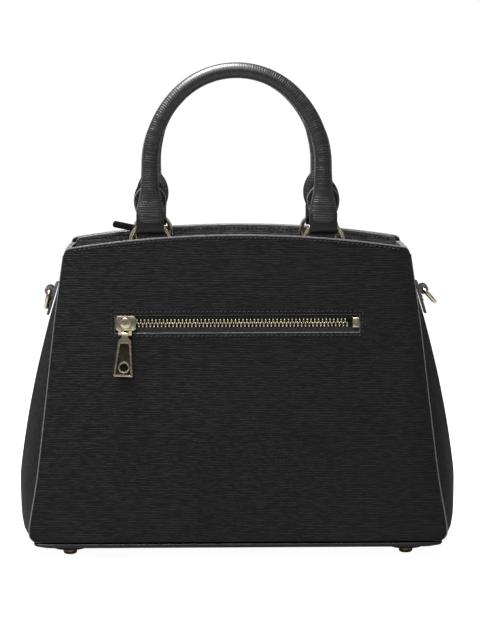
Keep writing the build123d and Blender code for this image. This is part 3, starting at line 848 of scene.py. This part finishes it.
class SATCHEL_OT_facings(bpy.types.Operator):
    """Builds the leather facings that line the mouth, with their topstitching"""

    bl_idname = "satchel.facings"
    bl_label = "Facings"

    def execute(self, context):
        for side, word in SIDES:
            obj = wall_layer(
                f"{word}_leather_facing", side, FACING_DEPTH, FACING_LOW, 0.0035, 0.0002)
            # The facings get the leather whose colour is lightened as painted light.
            leather_sheet(obj, "painted_light_facing_leather", FACING_THICKNESS, 0.0004, f"{word}_facing", 2)
            inner = FACING_DEPTH + FACING_THICKNESS
            lower = [panel_point(side, inner, x, FACING_LOW + 0.0022) for x in (-0.119, 0.119)]
            stitches(f"{word}_facing_stitches", "bag",
                     [(top_row(side, inner, 0.0028, 0.1165), -panel_normal(side)),
                      (lower, -panel_normal(side))])
        for side, word in ENDS:
            def place(c, v):
                z = WALL_BOTTOM + v
                reach = wall_half_depth(z) - FACING_DEPTH - FACING_THICKNESS - 0.0003
                x = gusset_half_width(c, v) - GUSSET_THICKNESS - gusset_pleat(c, v) - 0.0003
                return Vector((side * x, c * reach, z))

            obj = grid(f"{word}_leather_gusset_facing", spread(-1, 1, 20),
                       spread(FACING_LOW, 0.2058, 6), place, (side, 0, 0))
            # The gusset facings get the same leather, its colour lightened as painted light.
            leather_sheet(
                obj, "painted_light_facing_leather", FACING_THICKNESS, 0.0004, f"{word}_gusset_facing", 2)
        return {"FINISHED"}


class SATCHEL_OT_linings(bpy.types.Operator):
    """Builds the woven linings, the pocket bag behind the zip and the base board"""

    bl_idname = "satchel.linings"
    bl_label = "Linings"

    def execute(self, context):
        def fabric(obj, node, across):
            """Finishes a grid of cloth with this many points across, sewn to a leather piece."""
            flat, area = cut_size(obj, across), sum(f.area for f in obj.data.polygons)
            coat(obj, "lining_fabric")
            modify(obj, "SOLIDIFY", thickness=0.0005, offset=-1.0)
            mount(smooth(obj, 60), "bag", "lining_fabric", node)

        def rumple(x, z):
            """Soft waves of loose lining."""
            return 0.0007 * math.sin(31 * x + 17 * z) * math.sin(43 * z + 5)

        for side, word in SIDES:
            obj = grid(
                f"{word}_fabric_lining", spread(-1, 1, 40), spread(LINING_LOW, LINING_HIGH, 22),
                lambda c, z: Vector((c * (edge_at(z - WALL_BOTTOM)[0] - 0.0057),
                                     side * (LINING_Y - 0.0008 + rumple(c * 0.14, z)), z)),
                (0, side, 0))
            fabric(obj, f"{word}_lining", 41)
        for side, word in ENDS:
            def place(c, z):
                x = gusset_half_width(c, z - WALL_BOTTOM) - 0.0049 + 0.6 * rumple(c * 0.05, z)
                return Vector((side * x, c * (LINING_Y - 0.0016), z))

            obj = grid(f"{word}_fabric_lining", spread(-1, 1, 20),
                       spread(LINING_LOW, LINING_HIGH, 22), place, (side, 0, 0))
            fabric(obj, f"{word}_lining", 21)
        obj = grid("base_fabric_lining", spread(-0.141, 0.141, 30), spread(-LINING_Y, LINING_Y, 12),
                   lambda x, y: Vector((x, y, 0.0154 + 0.15 * rumple(x, y))), (0, 0, 1))
        fabric(obj, "base_lining", 31)
        columns = spread(-POCKET_HALF, POCKET_HALF, 24)
        obj = grid(
            "pocket_fabric_front", columns, spread(POCKET_LOW, 0.151, 14),
            lambda x, v: panel_point(REAR, POCKET_DEPTH + 0.0002 * math.sin(50 * x) ** 2, x, v),
            (0, -1, 0))
        fabric(obj, "pocket_front", len(columns))
        low = panel_point(REAR, POCKET_DEPTH, 0, POCKET_LOW).z
        obj = grid("pocket_fabric_back", columns, spread(low, 0.178, 16),
                   lambda x, z: Vector((x, -0.0483 - 0.0004 * math.sin(40 * x) ** 2, z)), (0, 1, 0))
        fabric(obj, "pocket_back", len(columns))
        sides = coat(merged_copy("pocket_sides", "pocket_fabric_sides"), "lining_fabric")
        soften(sides, 0.00015)
        mount(sides, "bag", "lining_fabric", "pocket_sides")
        hard_copy("base_board", "base_stiffener", "bag", "stiffener", 0.0006)
        return {"FINISHED"}


# ---- Zip ----

class SATCHEL_OT_zip(bpy.types.Operator):
    """Builds the zip: woven tapes, rounded teeth, stop, slider, yoke and pull"""

    bl_idname = "satchel.zip"
    bl_label = "Zip"

    def execute(self, context):
        tapes = []
        for way in (-1, 1):
            near, far = 0.0031, 0.0090

            def place(x, off):
                raised = 0.00025 if off < near + 0.0012 else 0.0
                return panel_point(REAR, 0.0025 - raised, x, CHAIN_V + way * off)

            obj = grid(f"tape_{way}", spread(-0.0902, 0.0902, 60), spread(near, far, 6), place,
                       (0, -1, 0))
            modify(obj, "SOLIDIFY", thickness=0.00045, offset=-1.0)
            tapes.append(coat(obj, "zip_tape"))
        mount(smooth(join("woven_zip_tapes", tapes), 50), "bag", "zip_tape", "zip_tape")

        chains = []
        for way in (-1, 1):
            clear()
            bpy.ops.mesh.primitive_cube_add(size=1)
            tooth = named(f"tooth_{way}")
            for vertex in tooth.data.vertices:
                x, v, depth = vertex.co
                narrow = 0.72 if v * way < 0 else 1.0
                x = CHAIN_START + (TOOTH_PITCH / 2 if way < 0 else 0.0) + x * 0.00135 * narrow
                vertex.co = panel_point(
                    REAR, 0.0027 - depth * 0.002, x, CHAIN_V + way * 0.00125 + v * 0.0035)
            in_edit(tooth, outwards)
            modify(tooth, "BEVEL", width=0.00038, segments=1, limit_method="NONE")
            modify(tooth, "ARRAY", count=TOOTH_COUNT, use_relative_offset=False,
                   use_constant_offset=True, constant_offset_displace=(TOOTH_PITCH, 0, 0))
            chains.append(coat(smooth(tooth, 60), "pale_gold"))
        mount(join("rounded_zip_teeth", chains), "bag", "aged_brass", "zip_teeth")
        hard_copy("zip_stops", "polished_zip_stop", "bag", "pale_gold", 0.0007)
        slider = hard_copy("zip_slider", "polished_zip_slider", "zip_slider", "pale_gold", 0.0004)
        clear()
        bpy.ops.mesh.primitive_uv_sphere_add(segments=32, ring_count=16, radius=1)
        crown = named("slider_crown")
        for vertex in crown.data.vertices:
            x, out, v = vertex.co
            vertex.co = panel_point(REAR, SLIDER_FACE - CROWN_RISE * out,
                                    SLIDER_X + CROWN_WIDTH * x, CHAIN_V + CROWN_WIDTH * v)
        in_edit(crown, outwards)
        join("polished_zip_slider", [slider, smooth(coat(crown, "pale_gold"), 60)])
        hard_copy("zip_yoke", "polished_zip_yoke", "zip_yoke", "pale_gold", 0.0003)
        pull = coat(merged_copy("zip_pull", "framed_zip_pull"), "pale_gold", "brushed_gold")
        self.line_face(pull)
        soften(pull, 0.0002)
        mount(pull, "zip_pull", "pale_gold", "zip_pull")
        return {"FINISHED"}

    def line_face(self, pull):
        """Brushes the sunk face of the pull, the biggest flat face that looks out of the bag."""
        faces = [f for f in pull.data.polygons if f.normal.y < -CUT_EDGE]
        depths = sorted(f.center.dot(panel_normal(REAR)) for f in faces)
        middle = (depths[0] + depths[-1]) / 2
        for face in faces:
            face.material_index = int(face.center.dot(panel_normal(REAR)) < middle)


# ---- Handles ----

def roll_half_width(z):
    """Half width of a roll across X, which opens out towards its flat end."""
    return (ROLL_RADIUS + 0.0011 * (1 - blend_up(z, 0.256, 0.277))
            + 0.0032 * (1 - blend_up(z, 0.243, 0.263)))


def open_out(roll, side):
    """Opens a roll's two lower ends out, from round to the flat shape of the folded strap."""
    for vertex in roll.data.vertices:
        z = vertex.co.z
        if z < LEG_TOP:
            centre = math.copysign(ROLL_SPAN, vertex.co.x)
            across = (vertex.co.x - centre) / ROLL_RADIUS
            out = (vertex.co.y - side * RING_Y) / ROLL_RADIUS
            power = 2 + 3.5 * (1 - blend_up(z, 0.243, 0.262))
            square = 1.0
            if z < 0.262:
                square = (abs(across) ** power + abs(out) ** power) ** (-1 / power)
            tuck = 1 - 0.05 * (1 - blend_up(z, FOLD_TOP, FOLD_TOP + 0.0025))
            depth = ROLL_RADIUS + 0.0006 * (1 - blend_up(z, 0.238, 0.262))
            vertex.co.x = centre + across * square * roll_half_width(z) * tuck
            vertex.co.y = side * RING_Y + out * square * depth * tuck


def straightened(point, side):
    """Where a point of a roll would be if the roll were pulled straight, with its length last."""
    x, z = abs(point.x), point.z
    turn = SHOULDER_TURN
    shoulder_x = ROLL_SPAN - SHOULDER_RADIUS
    crown_z = LEG_TOP + (SHOULDER_RADIUS - CROWN_RADIUS) * math.sin(turn)
    leg = LEG_TOP - ROLL_START
    half = leg + SHOULDER_RADIUS * turn + CROWN_RADIUS * (math.pi / 2 - turn)
    if z <= LEG_TOP:
        out, run = x - ROLL_SPAN, z - ROLL_START
    else:
        angle = math.atan2(z - LEG_TOP, x - shoulder_x)
        if angle <= turn:
            out = math.hypot(z - LEG_TOP, x - shoulder_x) - SHOULDER_RADIUS
            run = leg + SHOULDER_RADIUS * angle
        else:
            angle = math.atan2(z - crown_z, x)
            out = math.hypot(z - crown_z, x) - CROWN_RADIUS
            run = leg + SHOULDER_RADIUS * turn + CROWN_RADIUS * (angle - turn)
    return Vector((out, point.y - side * RING_Y, run if point.x > 0 else 2 * half - run))


def arch_tube(name, side, radius, low, sides):
    """A tube up one leg, over the shoulders and crown, and down the other leg."""
    clear()
    y = side * RING_Y
    bpy.ops.mesh.primitive_circle_add(vertices=sides, radius=radius, location=(ROLL_SPAN, y, low))
    obj = named(name)
    bpy.ops.object.mode_set(mode="EDIT")
    bpy.ops.mesh.select_all(action="SELECT")
    steps = 20

    def climb(rise):
        for _ in range(steps):
            bpy.ops.mesh.extrude_region_move(
                TRANSFORM_OT_translate={"value": (0, 0, rise / steps)})

    def turn(x, z, angle, count):
        bpy.ops.mesh.spin(steps=count, angle=angle, center=(x, y, z), axis=(0, 1, 0))

    crown_z = LEG_TOP + (SHOULDER_RADIUS - CROWN_RADIUS) * math.sin(SHOULDER_TURN)
    shoulder_x = ROLL_SPAN - SHOULDER_RADIUS
    climb(LEG_TOP - low)
    turn(shoulder_x, LEG_TOP, SHOULDER_TURN, 20)
    turn(0.0, crown_z, math.pi - 2 * SHOULDER_TURN, 30)
    turn(-shoulder_x, LEG_TOP, SHOULDER_TURN, 20)
    climb(low - LEG_TOP)
    bpy.ops.object.mode_set(mode="OBJECT")
    return in_edit(obj, weld, lambda: bpy.ops.mesh.fill_holes(sides=0), outwards)


def leaf_half(z, low):
    """Half width of a leaf-shaped strap end at height z."""
    share = (z - low) / (LEAF_TOP - low)
    belly = (LEAF_HALF - STRAP_HALF) * math.sin(math.pi * min(1.0, share * 1.1))
    return max(0.0, STRAP_HALF + belly - 0.006 * blend_up(share, 0.45, 1.0) ** 1.2)


def edge_line(name, side, x, way):
    """The raised painted edge of the roll's leather, down one side of a leg."""
    curve = bpy.data.curves.new(name, "CURVE")
    curve.dimensions = "3D"
    curve.bevel_depth = EDGE_BEAD
    curve.bevel_resolution = 2
    curve.use_fill_caps = True
    spline = curve.splines.new("NURBS")
    stops = spread(0.2465, 0.316, 22)
    spline.points.add(len(stops) - 1)
    inner = -math.copysign(1, x)
    for point, z in zip(spline.points, stops):
        back = 0.0019 - 0.0026 * blend_up(z, 0.262, 0.276) + 0.0045 * blend_up(z, 0.285, 0.316)
        half = roll_half_width(z)
        reach = math.sqrt(max(half**2 - back**2, 1e-9)) + 0.00005
        centre = x
        if z > LEG_TOP:
            centre = math.copysign(
                math.sqrt(SHOULDER_RADIUS**2 - (z - LEG_TOP) ** 2) + ROLL_SPAN - SHOULDER_RADIUS, x)
            slope = math.asin((z - LEG_TOP) / SHOULDER_RADIUS)
            out = Vector((math.cos(slope) * -inner, 0, math.sin(slope)))
        else:
            out = Vector((-inner, 0, 0))
        place = Vector((centre, side * (RING_Y - back), z)) + out * reach * (way * -inner)
        point.co = (*place, 1)
    spline.order_u = 4
    spline.use_endpoint_u = True
    obj = bpy.data.objects.new(name, curve)
    bpy.context.scene.collection.objects.link(obj)
    pick(obj)
    bpy.ops.object.convert(target="MESH")
    return coat(bpy.context.object, "edge_paint")


class SATCHEL_OT_handles(bpy.types.Operator):
    """Builds the two rolled handles with their stitched leaf ends, folded straps and cores"""

    bl_idname = "satchel.handles"
    bl_label = "Handles"

    def execute(self, context):
        for side, word in SIDES:
            body, wrap = f"{word}_handle", f"{word}_handle_wrap"
            roll = arch_tube(
                f"{word}_leather_roll", side, ROLL_RADIUS, FOLD_TOP, sizes().roll_sides)
            open_out(roll, side)
            unrolled = roll.data.attributes.new("straightened", "FLOAT_VECTOR", "POINT")
            for vertex, item in zip(roll.data.vertices, unrolled.data):
                item.vector = straightened(vertex.co, side)
            # The roll gets the leather whose colour and ribs are lightened as painted highlight.
            coat(roll, "painted_highlight_rolled_leather")
            mount(lean_out(smooth(roll, 60), side), body, "grained_leather", wrap)
            core = arch_tube(f"{word}_handle_filler", side, CORE_RADIUS, ROLL_START + 0.0045, 16)
            coat(core, "handle_core")
            mount(lean_out(smooth(core, 60), side), body, "handle_core", f"{word}_handle_core")

            leaves, lines, edges = [], [], []
            low = ROLL_START - 0.0005
            heights = [*spread(low, 0.264, 10), 0.266, 0.2673, LEAF_TOP]
            for x in (-ROLL_SPAN, ROLL_SPAN):
                def place(c, z):
                    return Vector((x + c * leaf_half(z, low), side * (RING_Y - LEAF_DEPTH), z))

                leaf = grid(f"leaf_{x:.3f}", spread(-1, 1, 12), heights, place, (0, side, 0))
                coat(leaf, "strap_leather", "edge_paint")
                leaves.append(thicken(leaf, 0.0019, 0.0006))
                for way in (-1, 1):
                    edges.append(edge_line(f"edge_{x:.3f}_{way}", side, x, way))
                    for depth, sign in ((LEAF_DEPTH, 1), (LEAF_DEPTH + 0.0039, -1)):
                        y = side * (RING_Y - depth)
                        row = [Vector((x + way * (leaf_half(z, low) - STITCH_INSET), y, z))
                               for z in spread(0.2465, 0.2655, 12)]
                        lines.append((row, (0, side * sign, 0)))
            leaf_ends = join(f"{word}_leaf_ends", leaves)
            mount(lean_out(leaf_ends, side), body, "strap_leather", wrap)
            roll_edges = smooth(join(f"{word}_roll_edges", edges), 60)
            mount(lean_out(roll_edges, side), body, "strap_leather", wrap)
            lean_out(stitches(f"{word}_leaf_stitches", body, lines), side)
            leather_copy(f"{word}_handle_straps", f"{word}_folded_straps", body, 0.0006)
        return {"FINISHED"}


class SATCHEL_OT_rings(bpy.types.Operator):
    """Finishes the handle rings, D-rings, their leather loops and the short hang strap"""

    bl_idname = "satchel.rings"
    bl_label = "Rings and loops"

    def execute(self, context):
        for side, word in SIDES:
            rings = []
            low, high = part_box(f"{word}_rings")
            wire = (high.y - low.y) / 2
            for x in (-RING_X, RING_X):
                clear()
                bpy.ops.mesh.primitive_torus_add(
                    location=(x, (low.y + high.y) / 2, (low.z + high.z) / 2),
                    rotation=(math.pi / 2, 0, 0), major_segments=72, minor_segments=20,
                    major_radius=(high.z - low.z) / 2 - wire, minor_radius=wire)
                rings.append(coat(named(f"ring_{x}"), "pale_gold"))
            mount(smooth(join(f"{word}_polished_rings", rings), 60), f"{word}_ring_pair",
                  "pale_gold", f"{word}_rings")
            leather_copy(f"{word}_ring_chapes", f"{word}_leather_loops", "bag")
            inner = FACING_DEPTH + FACING_THICKNESS + 0.0033
            lines = []
            for x in (-RING_X, RING_X):
                for way in (-1, 1):
                    row = [panel_point(side, inner, x + way * 0.0055, v) for v in (0.187, 0.1945)]
                    lines.append((row, -panel_normal(side)))
            stitches(f"{word}_loop_stitches", "bag", lines, SMALL_STITCH)
        for side, word in ENDS:
            hard_copy(f"{word}_d_ring", f"{word}_polished_d_ring", f"{word}_d_ring", "pale_gold")
            self.tab(side, word)
        leather_copy("hang_strap", "hang_strap_leather", "hang_strap", 0.0004)
        return {"FINISHED"}

    def tab(self, side, word):
        """The leather tab under a D-ring, painted on its cut edges, with its stitches."""
        node = f"{word}_strap_tab"
        obj = coat(merged_copy(node, f"{word}_leather_tab"), "strap_leather", "edge_paint")
        for face in obj.data.polygons:
            face.material_index = int(abs(face.normal.y) > CUT_EDGE)
        soften(obj, 0.0005, 3)
        mount(obj, "bag", "strap_leather", node)
        rows = []
        for y in (-TAB_STITCH_Y, TAB_STITCH_Y):
            points = [Vector((side * x, y, z)) for x, z in TAB_STITCH_ENDS]
            rows.append((points, (side * 0.96, 0, 0.3)))
        stitches(f"{word}_tab_stitches", "bag", rows, SMALL_STITCH)


class SATCHEL_OT_feet(bpy.types.Operator):
    """Finishes the four feet and the magnetic snap"""

    bl_idname = "satchel.feet"
    bl_label = "Feet and snap"

    def execute(self, context):
        pads = coat(merged_copy("foot_pads", "leather_foot_pads"), "strap_leather")
        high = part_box("foot_pads")[1]
        for vertex in pads.data.vertices:
            centre = Vector((math.copysign(high.x - PAD_RADIUS, vertex.co.x),
                             math.copysign(high.y - PAD_RADIUS, vertex.co.y), vertex.co.z))
            vertex.co = centre + (vertex.co - centre) * PAD_GROWTH
        soften(pads, 0.0006, 3)
        mount(pads, "bag", "strap_leather", "foot_pads")
        hard_copy("foot_studs", "domed_foot_studs", "bag", "aged_brass", 0.0004)
        hard_copy("foot_washers", "pressed_foot_washers", "bag", "nickel", 0.0002)
        hard_copy("snap_socket", "pressed_snap_socket", "bag", "nickel", 0.0004)
        hard_copy("snap_stud", "pressed_snap_stud", "bag", "nickel", 0.0004)
        return {"FINISHED"}


# ---- Stage ----

CAMERA_PLACE = (-0.0148, -1.936, 0.3943)
CAMERA_DOWN, CAMERA_TURN, CAMERA_ROLL = 6.58, -0.51, -0.2
CAMERA_LENS, CAMERA_SENSOR = 154.74, 36.0
FLOOR_WIDTH = 3.6

def soft_light(name, place, target, size, power):
    """A big soft lamp that looks at a target."""
    clear()
    bpy.ops.object.light_add(type="AREA", location=place)
    lamp = bpy.context.object
    lamp.name = name
    lamp.data.shape = "RECTANGLE"
    lamp.data.size, lamp.data.size_y = size
    lamp.data.energy = power
    way = Vector(target) - Vector(place)
    lamp.rotation_euler = way.to_track_quat("-Z", "Y").to_euler()


class SATCHEL_OT_stage(bpy.types.Operator):
    """Sets up the pale floor, the soft studio light and the camera"""

    bl_idname = "satchel.stage"
    bl_label = "Stage"

    def execute(self, context):
        scene = context.scene
        clear()
        bpy.ops.mesh.primitive_plane_add(size=FLOOR_WIDTH, location=(0, -0.2, 0))
        floor = named("studio_floor")
        tree, shader, place = new_material(
            "studio_paper", Roughness=0.9, Specular_IOR_Level=0.1, Emission_Color=(1, 1, 1, 1))
        seen = add_node(tree, "ShaderNodeLightPath").outputs["Is Camera Ray"]
        feed(tree, shader, Emission_Strength=map_range(tree, seen, 0, 1, 0.02, 0.97, "LINEAR"),
             Base_Color=tint(tree, noise(tree, place, 30.0), (1, 1, 1), 0.24, 0.28))
        coat(floor, "studio_paper")
        world = bpy.data.worlds.new("studio_air")
        scene.world = world
        world.use_nodes = True
        tree = world.node_tree
        path = add_node(tree, "ShaderNodeLightPath").outputs
        level = map_range(tree, path["Is Camera Ray"], 0, 1, 0.05, 1.05, "LINEAR")
        strength = math_node(tree, "MULTIPLY_ADD", path["Is Glossy Ray"], 0.08, level)
        feed(tree, tree.nodes["Background"], Color=(1, 1, 1, 1), Strength=strength)
        aim = (0, 0, 0.15)
        soft_light("top_softbox", (-0.42, -0.08, 1.6), aim, (0.9, 0.9), 84)
        soft_light("front_softbox", (-0.2, -1.5, 1.6), (0, 0, 0.2), (1.4, 0.8), 13)
        soft_light("left_softbox", (-1.6, -0.75, 1.1), aim, (0.5, 1.3), 1.7)
        soft_light("right_softbox", (1.6, -0.70, 1.0), aim, (0.5, 1.3), 1.4)
        soft_light("back_left_strip", (-1.5, 1.3, 0.8), aim, (0.3, 1.4), 0.9)
        soft_light("back_right_strip", (1.5, 1.3, 0.8), aim, (0.3, 1.4), 0.9)
        clear()
        bpy.ops.object.camera_add(
            location=CAMERA_PLACE,
            rotation=(math.radians(90 - CAMERA_DOWN), 0, math.radians(CAMERA_TURN)))
        camera = context.object
        roll = Matrix.Rotation(math.radians(CAMERA_ROLL), 3, "Z")
        camera.rotation_euler = (camera.rotation_euler.to_matrix() @ roll).to_euler()
        camera.name = "studio_camera"
        camera.data.sensor_width = CAMERA_SENSOR
        camera.data.lens = CAMERA_LENS
        camera.data.clip_end = 100.0
        scene.camera = camera
        scene.view_settings.view_transform = "Standard"
        return {"FINISHED"}


class SATCHEL_OT_finishes(bpy.types.Operator):
    """Makes the leather, fabric, thread and metal finishes"""

    bl_idname = "satchel.finishes"
    bl_label = "Finishes"

    def execute(self, context):
        make_finishes()
        return {"FINISHED"}


class SATCHEL_PT_parts(bpy.types.Panel):
    """Lists the bag's pieces, sizes and colours"""

    bl_label = "Satchel Bag"
    bl_space_type = "VIEW_3D"
    bl_region_type = "UI"
    bl_category = "Satchel"

    def draw(self, context):
        layout = self.layout
        for operator in OPERATORS:
            layout.operator(operator.bl_idname)
        for group in (context.scene.satchel_sizes, context.scene.satchel_colours):
            box = layout.box()
            for name in group.__annotations__:
                box.prop(group, name)


OPERATORS = (
    SATCHEL_OT_finishes, SATCHEL_OT_panels, SATCHEL_OT_gussets, SATCHEL_OT_facings,
    SATCHEL_OT_linings, SATCHEL_OT_zip, SATCHEL_OT_handles, SATCHEL_OT_rings,
    SATCHEL_OT_feet, SATCHEL_OT_stage,
)
CLASSES = (SatchelSizes, SatchelColours, *OPERATORS, SATCHEL_PT_parts)


def register():
    for item in CLASSES:
        bpy.utils.register_class(item)
    bpy.types.Scene.satchel_sizes = PointerProperty(type=SatchelSizes)
    bpy.types.Scene.satchel_colours = PointerProperty(type=SatchelColours)


def unregister():
    del bpy.types.Scene.satchel_colours
    del bpy.types.Scene.satchel_sizes
    for item in reversed(CLASSES):
        bpy.utils.unregister_class(item)


def main():
    register()
    bpy.ops.satchel.finishes()
    bpy.ops.satchel.stage()
    bpy.ops.satchel.panels()
    bpy.ops.satchel.gussets()
    bpy.ops.satchel.facings()
    bpy.ops.satchel.linings()
    bpy.ops.satchel.zip()
    bpy.ops.satchel.handles()
    bpy.ops.satchel.rings()
    bpy.ops.satchel.feet()


if __name__ == "__main__":
    main()
